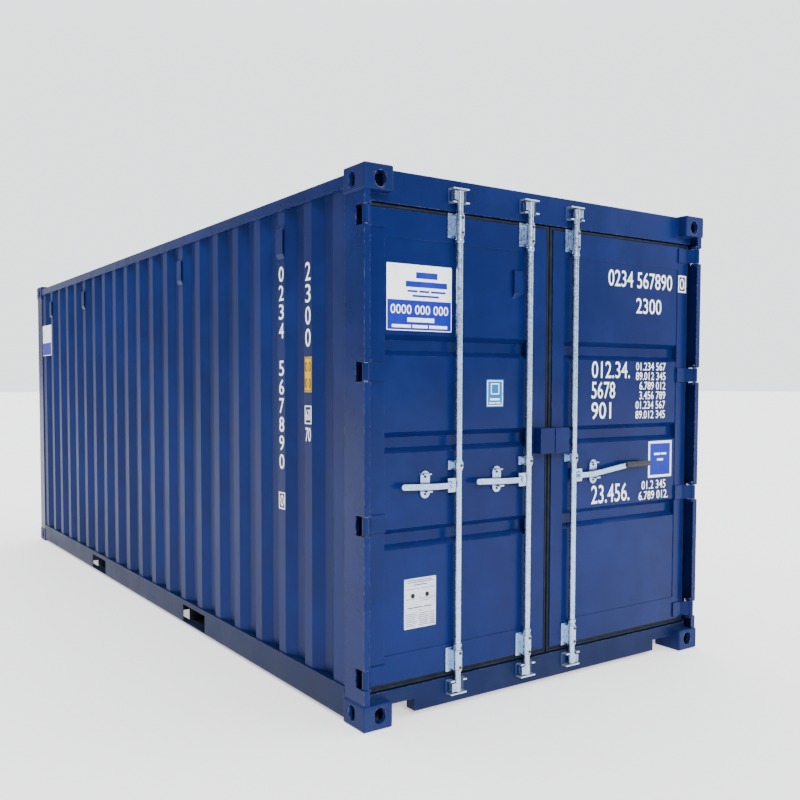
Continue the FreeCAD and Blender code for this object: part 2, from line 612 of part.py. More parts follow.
def leaf_parts(side, stile):
    """Frame, panel, seal and hinge blades of one door leaf; side is +1 right, -1 left."""
    out = half_long - S["leaf_front"]
    back = out - S["leaf_thick"]
    tube = S["tube_plate"]
    low, high = leaf_low, leaf_high
    outer = box("leaf", (back, out), (S["seam_edge"], leaf_edge), (low, high))
    window_y = (S["seam_edge"] + stile, leaf_edge - S["stile_outer"])
    window_z = (low + S["rail_wide"], high - S["rail_wide"])
    window = box("leaf_window", (back - 1, out + 1), window_y, window_z)
    voids = [
        box("stile_void", (back + tube, out - tube), (S["seam_edge"] + tube, window_y[0] - tube),
            (low + tube, high - tube)),
        box("stile_void", (back + tube, out - tube),
            (window_y[1] + tube, leaf_edge - tube), (low + tube, high - tube)),
        box("rail_void", (back + tube, out - tube),
            (S["seam_edge"] + tube, leaf_edge - tube), (low + tube, window_z[0] - tube)),
        box("rail_void", (back + tube, out - tube),
            (S["seam_edge"] + tube, leaf_edge - tube), (window_z[1] + tube, high - tube))]
    frame = cut("leaf_frame", outer, [window] + voids)

    face_x = out - S["panel_back"]
    line = [(face_x, window_z[1])]
    count = 1 + int((high - S["groove_drop"] - S["groove_low"]).value / S["groove_pitch"].value)
    grooves = [S["groove_low"] + S["groove_pitch"] * (count - 1 - step) for step in range(count)]
    for mid in grooves:
        half, flat = S["groove_tall"] / 2, S["groove_tall"] / 2 - S["groove_slope"]
        line += [(face_x, mid + half), (face_x - S["groove_depth"], mid + flat),
                 (face_x - S["groove_depth"], mid - flat), (face_x, mid - half)]
    line += [(face_x, window_z[0])]
    lean = S["sheet"] * 0.3
    lift = [0] + [lean, lean, -lean, -lean] * len(grooves) + [0]
    behind = [(x - S["sheet"], z + d) for (x, z), d in zip(line, lift)]
    panel = prism("leaf_panel", "XZ", line + behind[::-1], *window_y)

    seal_x = (back - 4, out - 8)
    seal_out = box("seal", seal_x, (S["seam_gap"], opening_half - S["seal_gap"]),
                   (S["sill_high"] + S["seal_gap"], header_low - S["seal_gap"]))
    seal_in = box("seal_hole", (back - 5, out), (S["seam_edge"], leaf_edge), (low, high))
    seal = cut("seal_ring", seal_out, [seal_in])

    blades = []
    reach = opening_half - S["blade_reach"] + 25
    for height in hinge_heights:
        z = (height - S["blade_tall"] / 2, height + S["blade_tall"] / 2)
        strap = prism("blade", "XY", [
            (out, reach), (out + S["blade_thick"], reach),
            (out + S["blade_thick"], leaf_edge - 4),
            (pin_x + 8, pin_out - 12), (pin_x - 13, pin_out - 4),
            (out, leaf_edge - 1)], *z)
        knuckle = rod("knuckle", "z", (pin_x, pin_out), S["knuckle_r"], *z)
        bore = rod("knuckle_bore", "z", (pin_x, pin_out), S["pin_r"] + 0.5,
                   z[0] - 1, z[1] + 1)
        blades.append(cut("blade_cut", fuse("blade_whole", [strap, knuckle]), [bore]))
    pieces = {"frame": frame, "panel": panel, "gasket": seal,
              "hinge_blades": group("blade_set", blades)}
    if side < 0:
        pieces = {key: mirror(key + "_left", shape, "y") for key, shape in pieces.items()}
    return pieces


leaf_face = half_long - S["leaf_front"]
panel_face = leaf_face - S["panel_back"]
for side, word, stile in ((-1, "left", S["stile_left"]), (1, "right", S["stile_right"])):
    for key, shape in leaf_parts(side, stile).items():
        node(f"door_{word}_{key}", shape)


def bearing(spot, middle, tall, reach_left, reach_right, barrel, seat=leaf_face):
    """A plate on the door and a barrel round the lock rod."""
    z = (middle - tall / 2, middle + tall / 2)
    return cut("bearing_cut", fuse("bearing", [
        box("bearing_plate", (seat, leaf_face + 5), (spot - reach_left, spot + reach_right), z),
        box("bearing_foot", (leaf_face, rod_x), (spot - S["barrel_r"], spot + S["barrel_r"]),
            (middle - barrel / 2, middle + barrel / 2)),
        rod("bearing_barrel", "z", (rod_x, spot), S["barrel_r"], middle - barrel / 2,
            middle + barrel / 2)]),
        [rod("bearing_bore", "z", (rod_x, spot), S["rod_r"] + 0.6, z[0] - 1, z[1] + 1)])


def rod_brackets(spot):
    return [bearing(spot, bearing_high, S["bearing_tall"], 56, 32, S["bearing_tall"] - 24),
            bearing(spot, bearing_low, S["bearing_tall"], 56, 32, S["bearing_tall"] - 24),
            bearing(spot, S["guide_at"], size(44), 46, 18, size(30), panel_face)]


node("door_left_rod_brackets", group("brackets_left", rod_brackets(rods_y[0])
                                     + rod_brackets(rods_y[1])))
node("door_right_rod_brackets", group("brackets_right", rod_brackets(rods_y[2])))


def catch(spot):
    """The plate, shelf and flap that a handle rests in."""
    middle = S["hub_at"] + 10
    backing = slot("catch_plate", "x", (spot, middle), size(56), size(132),
                   panel_face, leaf_face + 6)
    shelf = box("catch_shelf", (leaf_face + 3, rod_x + 18), (spot - 15, spot + 15),
                (S["hub_at"] - 25, S["hub_at"] - 17))
    flap = box("catch_flap", (leaf_face + 3, leaf_face + 28), (spot - 22, spot + 22),
               (S["hub_at"] + 58, S["hub_at"] + 64))
    return fuse("catch", [backing, shelf, flap])


bar_tips = [S["tip_from_edge"] - leaf_edge, rods_y[0] + S["tip_from_rod"],
            rods_y[2] + S["bar_three"]]
node("door_left_handle_catches", group("catches_left", [catch(bar_tips[0] + S["catch_in"]),
                                                        catch(bar_tips[1] + S["catch_in"])]))
node("door_right_handle_catch", catch(rods_y[2] + S["catch_three"]))

# Lock box over the seam, one half on each leaf, open below.
box_out = leaf_face + S["box_deep"]
box_half = cut("box_cut", box("box", (leaf_face, box_out), (S["seam_gap"], S["box_half"]),
                              (S["box_low"], S["box_high"])),
               [box("box_hollow", (leaf_face - 1, box_out - S["box_plate"]),
                    (S["seam_gap"] - 1, S["box_half"] - S["box_plate"]),
                    (S["box_low"] - 1, S["box_high"] - S["box_plate"]))])
node("lock_box_right", box_half)
node("lock_box_left", mirror("box_left", box_half, "y"))

# Door vent beside the second rod.
vent_foot = leaf_high - S["door_vent_drop"]
vent_y = (S["door_vent_at"] - S["door_vent_wide"] / 2, S["door_vent_at"] + S["door_vent_wide"] / 2)
vent_top = leaf_high - S["door_vent_drop"] + S["door_vent_tall"]
door_hood = prism("door_hood", "XZ", [
    (panel_face, vent_foot), (leaf_face + 12, vent_foot + 26),
    (leaf_face + 12, vent_top - 8), (panel_face, vent_top)], *vent_y)
hood_hollow = box("door_hood_hollow", (panel_face - 1, leaf_face + 9),
                  (vent_y[0] - 1, vent_y[1] - 3), (vent_foot + 30, vent_top - 12))
node("door_left_vent", cut("door_vent", door_hood, [hood_hollow]))

# Lock rods: tube, cam at each end and the handle hub; each handle turns on its hub.
bar = (rod_x + 4, rod_x + 4 + S["bar_thick"])
for word, spot, turned, tip in (
        ("one", rods_y[0], -1, bar_tips[0]), ("two", rods_y[1], -1, bar_tips[1]),
        ("three", rods_y[2], 1, bar_tips[2])):
    pivot = spot + turned * S["hub_out"]
    tube = cut("rod_tube", rod("rod_out", "z", (rod_x, spot), S["rod_r"],
                               keeper_low + S["rod_end"], keeper_high - S["rod_end"]),
               [rod("rod_in", "z", (rod_x, spot), S["rod_r"] - S["rod_wall"],
                    keeper_low + S["rod_end"] - 1, keeper_high - S["rod_end"] + 1)])
    ends = []
    for middle, toward in ((keeper_high, 1), (keeper_low, -1)):
        ends.append(rod("cam_hub", "z", (rod_x, spot), S["rod_r"] + 1, middle - 23 - 12 * (toward > 0),
                        middle + 23 + 12 * (toward < 0)))
        low, high = (spot, spot + 42) if turned > 0 else (spot - 42, spot)
        ends.append(box("cam", (rod_x - 14, rod_x + 10), (low, high), (middle - 21, middle + 21)))
        ends.append(box("cam_toe", (rod_x - 14, rod_x + 12),
                        (low + 30, high) if turned > 0 else (low, high - 30),
                        (middle - 21, middle + 21)))
    for middle, tall in ((bearing_high, S["bearing_tall"] - 24),
                         (bearing_low, S["bearing_tall"] - 24), (S["guide_at"], 30)):
        for side in (-1, 1):
            level = middle + side * (size(tall) / 2 + 6)
            ends.append(rod("collar", "z", (rod_x, spot), S["rod_r"] + 4, level - 3, level + 3))
    low, high = (spot, pivot + 20) if turned > 0 else (pivot - 20, spot)
    hub = box("hub", (rod_x - 6, rod_x + 2), (low, high), (S["hub_at"] - 34, S["hub_at"] + 34))
    bolt = rod("hub_bolt", "x", (pivot, S["hub_at"]), 8, rod_x - 8, bar[1] + 3)
    head = rod("hub_head", "x", (pivot, S["hub_at"]), 13, bar[1] + 2, bar[1] + 8)
    node(f"lock_rod_{word}", fuse("rod_whole", [tube, hub, bolt, head] + ends))

    half = S["bar_tall"] / 2
    z, lift = S["hub_at"], S["bar_rise"] if turned > 0 else size(8)
    kink = pivot + turned * 100
    points = [(pivot, z - half), (kink, z - half), (tip, z + lift - half),
              (tip, z + lift + half), (kink, z + half), (pivot, z + half)]
    body = prism("handle_bar", "YZ", points, *bar)
    eye = rod("handle_eye", "x", (pivot, z), 20, *bar)
    hole = rod("handle_hole", "x", (pivot, z), 8.5, bar[0] - 1, bar[1] + 1)
    pieces = [body, eye]
    if turned < 0:
        pieces.append(rod("handle_tip", "x", (tip, z + lift), half, *bar))
    node(f"handle_{word}", cut("handle_cut", fuse("handle_whole", pieces), [hole]))

grip_z = S["hub_at"] + S["bar_rise"]
node("handle_grip", rod("grip", "y", (rod_x + 9, grip_z + 4), 17, tip, tip + S["grip_long"]))
node("roof_corner_plates", group("corner_plates", [
    corner_plate, mirror("plate_left", corner_plate, "y"),
    mirror("plate_front", corner_plate, "x"),
    mirror("plate_front_left", mirror("plate_far", corner_plate, "x"), "y")]))

doc.recompute()
for obj in doc.Objects:
    if "Invalid" in obj.State or "Error" in obj.State:
        raise RuntimeError(f"{obj.Name} did not compute")
os.makedirs("parts", exist_ok=True)
for obj in nodes:
    if obj.Shape.isNull() or not obj.Shape.isValid():
        raise RuntimeError(f"{obj.Label} has no valid shape")
    obj.Shape.exportStep(f"parts/{obj.Label}.step")
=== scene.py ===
import math

import bpy
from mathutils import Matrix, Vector


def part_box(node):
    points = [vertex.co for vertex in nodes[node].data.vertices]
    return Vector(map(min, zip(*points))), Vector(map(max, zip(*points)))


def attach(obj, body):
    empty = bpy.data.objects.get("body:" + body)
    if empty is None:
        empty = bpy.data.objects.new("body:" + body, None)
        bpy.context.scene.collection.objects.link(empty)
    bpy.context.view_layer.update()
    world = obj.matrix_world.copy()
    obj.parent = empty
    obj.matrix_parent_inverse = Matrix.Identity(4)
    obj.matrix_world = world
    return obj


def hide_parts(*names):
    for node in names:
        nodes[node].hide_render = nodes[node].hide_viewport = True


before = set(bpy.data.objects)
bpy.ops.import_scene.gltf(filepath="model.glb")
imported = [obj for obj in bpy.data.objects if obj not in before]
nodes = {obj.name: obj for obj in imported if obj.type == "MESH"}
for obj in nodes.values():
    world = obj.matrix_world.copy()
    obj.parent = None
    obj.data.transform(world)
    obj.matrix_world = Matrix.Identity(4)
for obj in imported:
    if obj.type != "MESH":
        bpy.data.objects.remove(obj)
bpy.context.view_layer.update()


# Corner castings: eight hollow cast-steel blocks, sprayed with the frame.  They take every
# knock, so their edges are rubbed to grey primer and their sand-cast faces are pitted.
class Shade:
    """One output of a shader node; sums and products of these add Math nodes."""

    def __init__(self, tree, socket):
        self.tree, self.socket = tree, socket

    def node(self, kind, settings, inputs, output=0):
        """Another node of this tree, its settings first and then its sockets."""
        made = self.tree.nodes.new("ShaderNode" + kind)
        for key, value in settings.items():
            setattr(made, key, value)
        for key, value in inputs.items():
            if isinstance(value, Shade):
                self.tree.links.new(value.socket, made.inputs[key])
            else:
                made.inputs[key].default_value = value
        return Shade(self.tree, made.outputs[output])

    def math(self, operation, first, second=0.0):
        """A Math node on two values."""
        return self.node("Math", {"operation": operation}, {0: first, 1: second})

    def __add__(self, other):
        return self.math("ADD", self, other)

    __radd__ = __add__

    def __mul__(self, other):
        return self.math("MULTIPLY", self, other)

    __rmul__ = __mul__

    def __sub__(self, other):
        return self.math("SUBTRACT", self, other)

    def __rsub__(self, other):
        return self.math("SUBTRACT", other, self)

    def over(self, low, high):
        """0 below low, 1 above high, smooth between."""
        return self.node("MapRange", {"interpolation_type": "SMOOTHSTEP"},
                         {"Value": self, "From Min": low, "From Max": high})

    def blend(self, first, second):
        """A colour between two, by this mask."""
        return self.node("Mix", {"data_type": "RGBA"}, {0: self, 6: first, 7: second}, 2)

    def noise(self, scale, detail=3.0, rough=0.5, stretch=(1, 1, 1), shift=(0, 0, 0)):
        """Cloudy noise over this position, stretched along an axis."""
        spread = self.node("Mapping", {}, {"Vector": self, "Scale": stretch,
                                           "Location": shift})
        return self.node("TexNoise", {}, {"Vector": spread, "Scale": scale,
                                          "Detail": detail, "Roughness": rough})

    def along(self, axis):
        """This position's value along one axis."""
        return self.node("SeparateXYZ", {}, {0: self}, "XYZ".index(axis))

    def feed(self, shader, socket):
        """Drives one socket of the surface shader."""
        self.tree.links.new(self.socket, shader.inputs[socket])

    def relief(self, shader, strength, distance):
        """This height as the surface's bumps."""
        self.node("Bump", {}, {"Strength": strength, "Distance": distance,
                               "Height": self}).feed(shader, "Normal")

    def rubbed_edges(self, radius):
        """1 where the surface turns a corner tighter than radius."""
        soft = self.node("Bevel", {"samples": 4}, {"Radius": radius})
        flat = self.node("NewGeometry", {}, {}, 1)
        return 1 - self.node("VectorMath", {"operation": "DOT_PRODUCT"},
                             {0: soft, 1: flat}, 1)


def finish_of(name, build):
    """A material whose surface is set by build(position, shader)."""
    material = bpy.data.materials.new(name)
    material.use_nodes = True
    tree = material.node_tree
    spot = tree.nodes.new("ShaderNodeTexCoord")
    build(Shade(tree, spot.outputs["Object"]), tree.nodes["Principled BSDF"])
    return material


def coat(material, *names):
    """Gives the pieces of these names this finish."""
    for name in names:
        nodes[name].data.materials.clear()
        nodes[name].data.materials.append(material)


PAINT_GLOSS_LEVEL = 0.11    # low, for paint that no longer mirrors the sky
SEA_BLUE = (0.0042, 0.0128, 0.088, 1)
DEEP_BLUE = (0.0028, 0.0086, 0.060, 1)
CHALKED = (0.0085, 0.0230, 0.115, 1)
DUST = (0.052, 0.060, 0.078, 1)
RUST = (0.15, 0.047, 0.016, 1)
DARK_RUST = (0.045, 0.018, 0.011, 1)
PRIMER = (0.20, 0.24, 0.32, 1)


def marine_paint(position, shader, chips=0.74, runs=0.4, mud=0.4, chalk=0.35, rubbed=0.0,
                 grit=0.010, gloss=0.30, deep=DEEP_BLUE, bright=SEA_BLUE):
    """Sprayed marine paint: cloudy tone, rain runs, dust, small rust chips, worn edges."""
    clouds = position.noise(0.9, 4.0, 0.55)
    patches = position.noise(5.0, 5.0, 0.6, shift=(3.1, 0.4, 7.7))
    paint = (clouds * 0.6 + patches * 0.4).over(0.36, 0.66).blend(deep, bright)
    faded = position.noise(2.2, 3.0, 0.6, shift=(9.0, 2.0, 1.0)).over(0.50, 0.80) * chalk
    paint = faded.blend(paint, CHALKED)
    wide = position.noise(7.0, 4.0, 0.62, stretch=(1, 1, 0.06))
    fine = position.noise(38.0, 3.0, 0.6, stretch=(1, 1, 0.04), shift=(5, 5, 0))
    film = (wide * 0.65 + fine * 0.35).over(0.52, 0.76) * (0.22 * runs)
    low_dust = (1 - position.along("Z").over(0.02, 0.50)) * patches.over(0.35, 0.7)
    veil = (film + low_dust * (0.40 * mud)).over(0.0, 1.0)
    paint = veil.blend(paint, DUST)
    specks = position.noise(17.0, 6.0, 0.72, shift=(1.7, 8.3, 4.4)).over(chips, chips + 0.012)
    rusty = position.noise(120.0, 2.0, 0.6).over(0.35, 0.65).blend(DARK_RUST, RUST)
    paint = specks.blend(paint, rusty)
    rough = specks * 0.45 + veil * 0.40 + patches * 0.10 + gloss
    if rubbed:
        broken = position.noise(55.0, 5.0, 0.7, shift=(4, 1, 6)).over(0.47, 0.60)
        worn = position.rubbed_edges(0.006).over(0.04, 0.22) * broken * rubbed
        bare = position.noise(30.0, 3.0, 0.6, shift=(7, 7, 2)).over(0.50, 0.62)
        paint = worn.blend(paint, bare.blend(PRIMER, RUST))
        rough = rough + worn * 0.25
    paint.feed(shader, "Base Color")
    rough.over(0.0, 1.0).feed(shader, "Roughness")
    wave = position.noise(3.2, 2.0, 0.5, shift=(2, 6, 4))
    (wave + position.noise(260.0, 2.0, 0.5) * grit - specks * 0.05).relief(shader, 0.35, 0.01)
    shader.inputs["Specular IOR Level"].default_value = PAINT_GLOSS_LEVEL


coat(finish_of("casting_paint", lambda place, shader: marine_paint(
    place, shader, chips=0.66, runs=0.2, mud=0.7, rubbed=0.9, grit=0.10, gloss=0.42)),
    "top_corner_castings", "bottom_corner_castings", "left_sill_casting")


def begin(add, **where):
    """A primitive at its place, with nothing else selected."""
    bpy.ops.object.select_all(action="DESELECT")
    add(**where)
    return bpy.context.object


def settle(piece, name, finish, body, smooth=None):
    """Puts the place in the mesh, then names, finishes and hangs the piece."""
    bpy.ops.object.select_all(action="DESELECT")
    piece.select_set(True)
    bpy.context.view_layer.objects.active = piece
    bpy.ops.object.transform_apply(location=True, rotation=True, scale=True)
    for modifier in list(piece.modifiers):
        bpy.ops.object.modifier_apply(modifier=modifier.name)
    if smooth:
        bpy.ops.object.shade_smooth_by_angle(angle=math.radians(smooth))
    piece.name = name
    piece.data.name = name
    piece.data.materials.clear()
    piece.data.materials.append(finish)
    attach(piece, body)
    return piece


def together(pieces):
    """Several finished meshes as one piece."""
    bpy.ops.object.select_all(action="DESELECT")
    for piece in pieces:
        piece.select_set(True)
    bpy.context.view_layer.objects.active = pieces[0]
    bpy.ops.object.join()
    return pieces[0]


def bead(start, end, radius=0.003, pitch=0.012):
    """A run of weld: one ripple extruded twice, then repeated from start to end."""
    start, run = Vector(start), Vector(end) - Vector(start)
    count = max(2, round(run.length / pitch))
    step = run / count
    piece = begin(bpy.ops.mesh.primitive_circle_add, vertices=6, radius=radius * 0.8,
                  location=start, rotation=run.to_track_quat("Z", "Y").to_euler())
    bpy.ops.object.transform_apply(location=True, rotation=True, scale=True)
    bpy.ops.object.mode_set(mode="EDIT")
    bpy.ops.mesh.select_all(action="SELECT")
    for part, grow in ((1, 1.25), (2, 0.8)):
        bpy.ops.mesh.extrude_region_move(TRANSFORM_OT_translate={"value": step / 2})
        bpy.ops.transform.resize(value=(grow, grow, grow),
                                 center_override=start + step * part / 2)
    bpy.ops.object.mode_set(mode="OBJECT")
    repeat = piece.modifiers.new("ripples", "ARRAY")
    repeat.count, repeat.use_relative_offset = count, False
    repeat.use_constant_offset, repeat.constant_offset_displace = True, step
    bpy.ops.object.modifier_apply(modifier="ripples")
    bpy.ops.object.mode_set(mode="EDIT")
    bpy.ops.mesh.select_all(action="SELECT")
    bpy.ops.mesh.remove_doubles(threshold=0.0002)
    bpy.ops.mesh.fill_holes(sides=8)
    bpy.ops.mesh.normals_make_consistent(inside=False)
    bpy.ops.object.mode_set(mode="OBJECT")
    return piece


def welds(name, finish, body, runs, radius=0.003):
    """All the weld runs of one group as a piece."""
    return settle(together([bead(*run, radius=radius) for run in runs]), name, finish,
                  body, 60)


weld_paint = finish_of("painted_weld", lambda place, shader: marine_paint(
    place, shader, chips=0.62, runs=0.2, mud=0.6, grit=0.06, gloss=0.36))
post_low, post_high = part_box("rear_post_right")
weld_proud = 0.0008             # a bead's centre stands this far off the plate
rear_face = post_high[0] + weld_proud
front_face, front_post_back = -3.0238, -2.872
corner_gap, rear_leg, front_leg = 0.004, 0.030, 0.148
joint_runs = []
for side in (-1, 1):
    face = side * (post_high[1] + weld_proud)
    inside = face - side * corner_gap
    for level in (post_low[2] + 0.001, post_high[2] - 0.001):
        joint_runs += [
            ((post_low[0] + corner_gap, face, level), (post_high[0] - 0.002, face, level)),
            ((rear_face, inside, level), (rear_face, face - side * rear_leg, level)),
            ((-rear_face, face, level), (front_post_back, face, level)),
            ((front_face, inside, level), (front_face, face - side * front_leg, level))]
welds("casting_joint_welds", weld_paint, "box_frame", joint_runs, 0.0035)

# Frame: folded corner posts, box header and sill, rails.  Plate steel, seam welded and
# sprayed; the lips and the sill collect scuffs, chips and grit thrown up by the road.
# The sill, bottom rails and pocket mouths take darker blues, which are painted shade.
frame_paint = finish_of("frame_paint", lambda place, shader: marine_paint(
    place, shader, chips=0.735, runs=0.35, mud=0.5, rubbed=0.55, grit=0.02))
coat(frame_paint, "rear_post_left", "rear_post_right", "front_posts", "door_header",
     "front_top_rail", "top_side_rails", "roof_corner_plates", "hinge_lugs")
# Painted shade: these two darker blues stand for the shade on the low sill, bottom rails and
# pocket mouths.
SHADED_BLUE, SHADE_DARKENED_BLUE = (0.0030, 0.0100, 0.056, 1), (0.0018, 0.0062, 0.036, 1)
painted_shade_sill_coat = finish_of("painted_shade_sill_coat", lambda place, shader: marine_paint(
    place, shader, chips=0.745, runs=0.2, mud=0.5, chalk=0.15, rubbed=0.4, grit=0.08,
    gloss=0.42, deep=SHADE_DARKENED_BLUE, bright=SHADED_BLUE))
coat(painted_shade_sill_coat, "door_sill", "bottom_side_rails", "pocket_mouths", "front_bottom_rail")
head_low, head_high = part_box("door_header")
sill_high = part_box("door_sill")[1]
end_x = head_high[0]
jamb_y, casting_y = 1.1695, 1.057
frame_runs = []
for side in (-1, 1):
    for across, low, high in ((jamb_y, head_low[2] + 0.002, 2.470),
                              (jamb_y, 0.121, sill_high[2] - 0.002),
                              (casting_y, 0.024, 0.116), (casting_y, 2.475, 2.583)):
        frame_runs.append(((end_x, side * across, low), (end_x, side * across, high)))
welds("header_and_sill_welds", weld_paint, "box_frame", frame_runs)

# Under-frame: channel cross members and fork tunnels, brushed with a waxy dark coating
# over the paint and dusted by the road.  They are welded up inside the rails.
def underbody_wax(position, shader):
    """Thick brushed wax, dull and blotchy, with road dust in it."""
    blotch = position.noise(6.0, 5.0, 0.65)
    tone = blotch.over(0.35, 0.65).blend((0.010, 0.013, 0.022, 1), (0.022, 0.030, 0.060, 1))
    dusty = position.noise(14.0, 4.0, 0.6, shift=(2, 8, 1)).over(0.50, 0.75) * 0.5
    dusty.blend(tone, (0.13, 0.12, 0.10, 1)).feed(shader, "Base Color")
    (blotch * 0.25 + dusty * 0.3 + 0.45).feed(shader, "Roughness")
    brush = position.noise(40.0, 4.0, 0.6, stretch=(1, 0.1, 1))
    (blotch + brush * 0.4).relief(shader, 0.4, 0.002)


coat(finish_of("underbody_wax", underbody_wax), "floor_crossmembers", "fork_pockets")

# Floor: 28 mm marine plywood in full-width boards, screwed down to each cross member.
# Waxed hardwood face with pale scuffs, and a flat steel strip along the middle seam.
BOARDS_PER_METRE = 0.82


def floor_ply(position, shader):
    """Brown hardwood face veneer with grain along the box and board seams across it."""
    boards = position.along("X") * BOARDS_PER_METRE
    ring = position.noise(9.0, 6.0, 0.65, stretch=(0.12, 1.6, 1))
    fibre = position.noise(90.0, 3.0, 0.6, stretch=(0.05, 1, 1), shift=(1, 4, 0))
    board = boards.node("Math", {"operation": "FLOOR"}, {0: boards})
    board_tone = board.node("TexWhiteNoise", {"noise_dimensions": "1D"}, {"W": board})
    wood = (ring * 0.6 + fibre * 0.25 + board_tone * 0.15).over(0.30, 0.66).blend(
        (0.075, 0.030, 0.013, 1), (0.26, 0.125, 0.055, 1))
    scuff = position.noise(4.0, 6.0, 0.7, stretch=(0.3, 1, 1), shift=(6, 2, 0)).over(0.54, 0.70)
    wood = (scuff * 0.45).blend(wood, (0.34, 0.29, 0.23, 1))
    gap = 1 - boards.node("Math", {"operation": "PINGPONG"},
                          {0: boards, 1: 0.5}).over(0.0, 0.004)
    gap.blend(wood, (0.012, 0.009, 0.007, 1)).feed(shader, "Base Color")
    (scuff * 0.15 + fibre * 0.2 + 0.40).feed(shader, "Roughness")
    (fibre * 0.5 + ring * 0.3 - gap * 2.0).relief(shader, 0.3, 0.0008)


coat(finish_of("floor_plywood", floor_ply), "plywood_floor")
floor_low, floor_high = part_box("plywood_floor")


def zinc(position, shader, base=(0.44, 0.56, 0.76, 1), dull=(0.30, 0.39, 0.54, 1)):
    """Hot-dip zinc: spangle cells, slight white bloom and dull rubbed patches."""
    cells = position.node("TexVoronoi", {"feature": "F1"}, {"Vector": position,
                                                           "Scale": 130.0}, 1)
    spangle = cells.node("SeparateColor", {}, {0: cells})
    cloud = position.noise(16.0, 4.0, 0.6)
    metal = (spangle * 0.35 + cloud * 0.65).over(0.25, 0.70).blend(dull, base)
    bloom = position.noise(34.0, 5.0, 0.7, shift=(3, 3, 8)).over(0.60, 0.76) * 0.22
    metal = bloom.blend(metal, (0.66, 0.73, 0.82, 1))
    grime = position.noise(10.0, 5.0, 0.7, stretch=(1, 1, 0.25), shift=(8, 1, 1))
    grime = grime.over(0.62, 0.80) * 0.28
    grime.blend(metal, (0.10, 0.085, 0.07, 1)).feed(shader, "Base Color")
    (1 - (grime + bloom) * 0.9 - 0.06).over(0.0, 1.0).feed(shader, "Metallic")
    (spangle * 0.10 + cloud * 0.16 + grime * 0.3 + 0.17).feed(shader, "Roughness")
    (cloud + spangle * 0.06).relief(shader, 0.10, 0.001)


zinc_steel = finish_of("zinc_steel", zinc)
floor_top = floor_high[2]
strip_wide, strip_thick = 0.060, 0.003
strip = begin(bpy.ops.mesh.primitive_cube_add, size=1, location=(0, 0, floor_top + 0.0005))
strip.scale = (floor_high[0] - floor_low[0] - 0.02, strip_wide, strip_thick)
strip.modifiers.new("edge", "BEVEL").width = 0.001
settle(strip, "floor_centre_strip", zinc_steel, "box_frame")
screw = begin(bpy.ops.mesh.primitive_cylinder_add, vertices=8, radius=0.0065, depth=0.002,
              location=(0, 0, 0))
bpy.ops.object.mode_set(mode="EDIT")
bpy.ops.mesh.select_all(action="SELECT")
bpy.ops.mesh.bevel(offset=0.0008, segments=1)
bpy.ops.object.mode_set(mode="OBJECT")


def spread(first, places):
    """Copies of a finished mesh at each place, each with its own mesh, made one."""
    pieces = []
    for place in places:
        copy = first.copy()
        copy.data = first.data.copy()
        bpy.context.collection.objects.link(copy)
        copy.location = place
        pieces.append(copy)
    bpy.data.objects.remove(first)
    for piece in pieces:
        piece.select_set(True)
    return together(pieces)


member_x = [side * x for side in (-1, 1)
            for x in (0.182, 0.552, 0.84, 1.215, 1.512, 1.797, 2.082, 2.367, 2.652)]
screw_y = (-1.08, -0.8, -0.52, -0.24, 0.24, 0.52, 0.8, 1.08)
settle(spread(screw, [(x, y, floor_top - 0.0002) for x in member_x for y in screw_y]),
       "floor_screws", zinc_steel, "box_frame", 40)

# Side walls: 2 mm weathering-steel sheet in deep folds, welded to rails and posts.  Rain
# runs and a little chalk follow the folds, with dust low down near the rail.
wall_paint = finish_of("wall_paint", lambda place, shader: marine_paint(
    place, shader, chips=0.765, runs=0.40, mud=0.4, chalk=0.20, gloss=0.40))
coat(wall_paint, "side_wall_left", "side_wall_right", "side_vents")
wall_low, wall_high = 0.172, 2.468
rear_edge, front_edge = post_low[0] - 0.001, -2.8615
edge_runs = []
for side in (-1, 1):
    skin, rail_lip = side * 1.2045, side * 1.2055
    edge_runs += [((rear_edge, skin, wall_low), (rear_edge, skin, wall_high)),
                  ((front_edge, skin, wall_low), (front_edge, skin, wall_high)),
                  ((-2.84, rail_lip, 0.1665), (-2.746, rail_lip, 0.1665))]
welds("side_wall_welds", weld_paint, "box_frame", edge_runs)

# Front wall: the same weathering-steel sheet with deeper folds, welded across the closed
# end to its posts and rails.
coat(finish_of("front_wall_paint", lambda place, shader: marine_paint(
    place, shader, chips=0.72, runs=0.6, mud=0.5, chalk=0.3, gloss=0.30)), "front_wall")

# Roof: five pressed sheets seamed across the box.  It is chalked by the sun, with dried
# puddle rings, bird lime and light rust where water stands between the ribs.
def roof_paint(position, shader):
    """Sun-faded paint with dried puddle rings and rust freckles."""
    clouds = position.noise(1.2, 4.0, 0.6)
    paint = clouds.over(0.35, 0.65).blend(SEA_BLUE, CHALKED)
    puddle = position.noise(2.6, 4.0, 0.55, shift=(4, 4, 4))
    ring = puddle.over(0.50, 0.54) * (1 - puddle.over(0.56, 0.62))
    film = (ring * 0.35 + position.noise(11.0, 5.0, 0.7).over(0.45, 0.75) * 0.30)
    paint = film.over(0.0, 1.0).blend(paint, DUST)
    freckle = position.noise(24.0, 6.0, 0.75, shift=(1, 9, 3)).over(0.66, 0.69)
    freckle.blend(paint, RUST).feed(shader, "Base Color")
    (film * 0.5 + freckle * 0.4 + 0.40).feed(shader, "Roughness")
    (clouds + freckle * 0.08).relief(shader, 0.3, 0.008)
    shader.inputs["Specular IOR Level"].default_value = PAINT_GLOSS_LEVEL


coat(finish_of("roof_paint", roof_paint), "roof_panel")
rib_pitch, seam_y, seam_z = 0.209, 1.14, 2.5655
seams = [rib_pitch * (step + 0.5) for step in (-8, -3, 2, 7)]
welds("roof_seam_welds", weld_paint, "box_frame",
      [((x, -seam_y, seam_z), (x, seam_y, seam_z)) for x in seams])

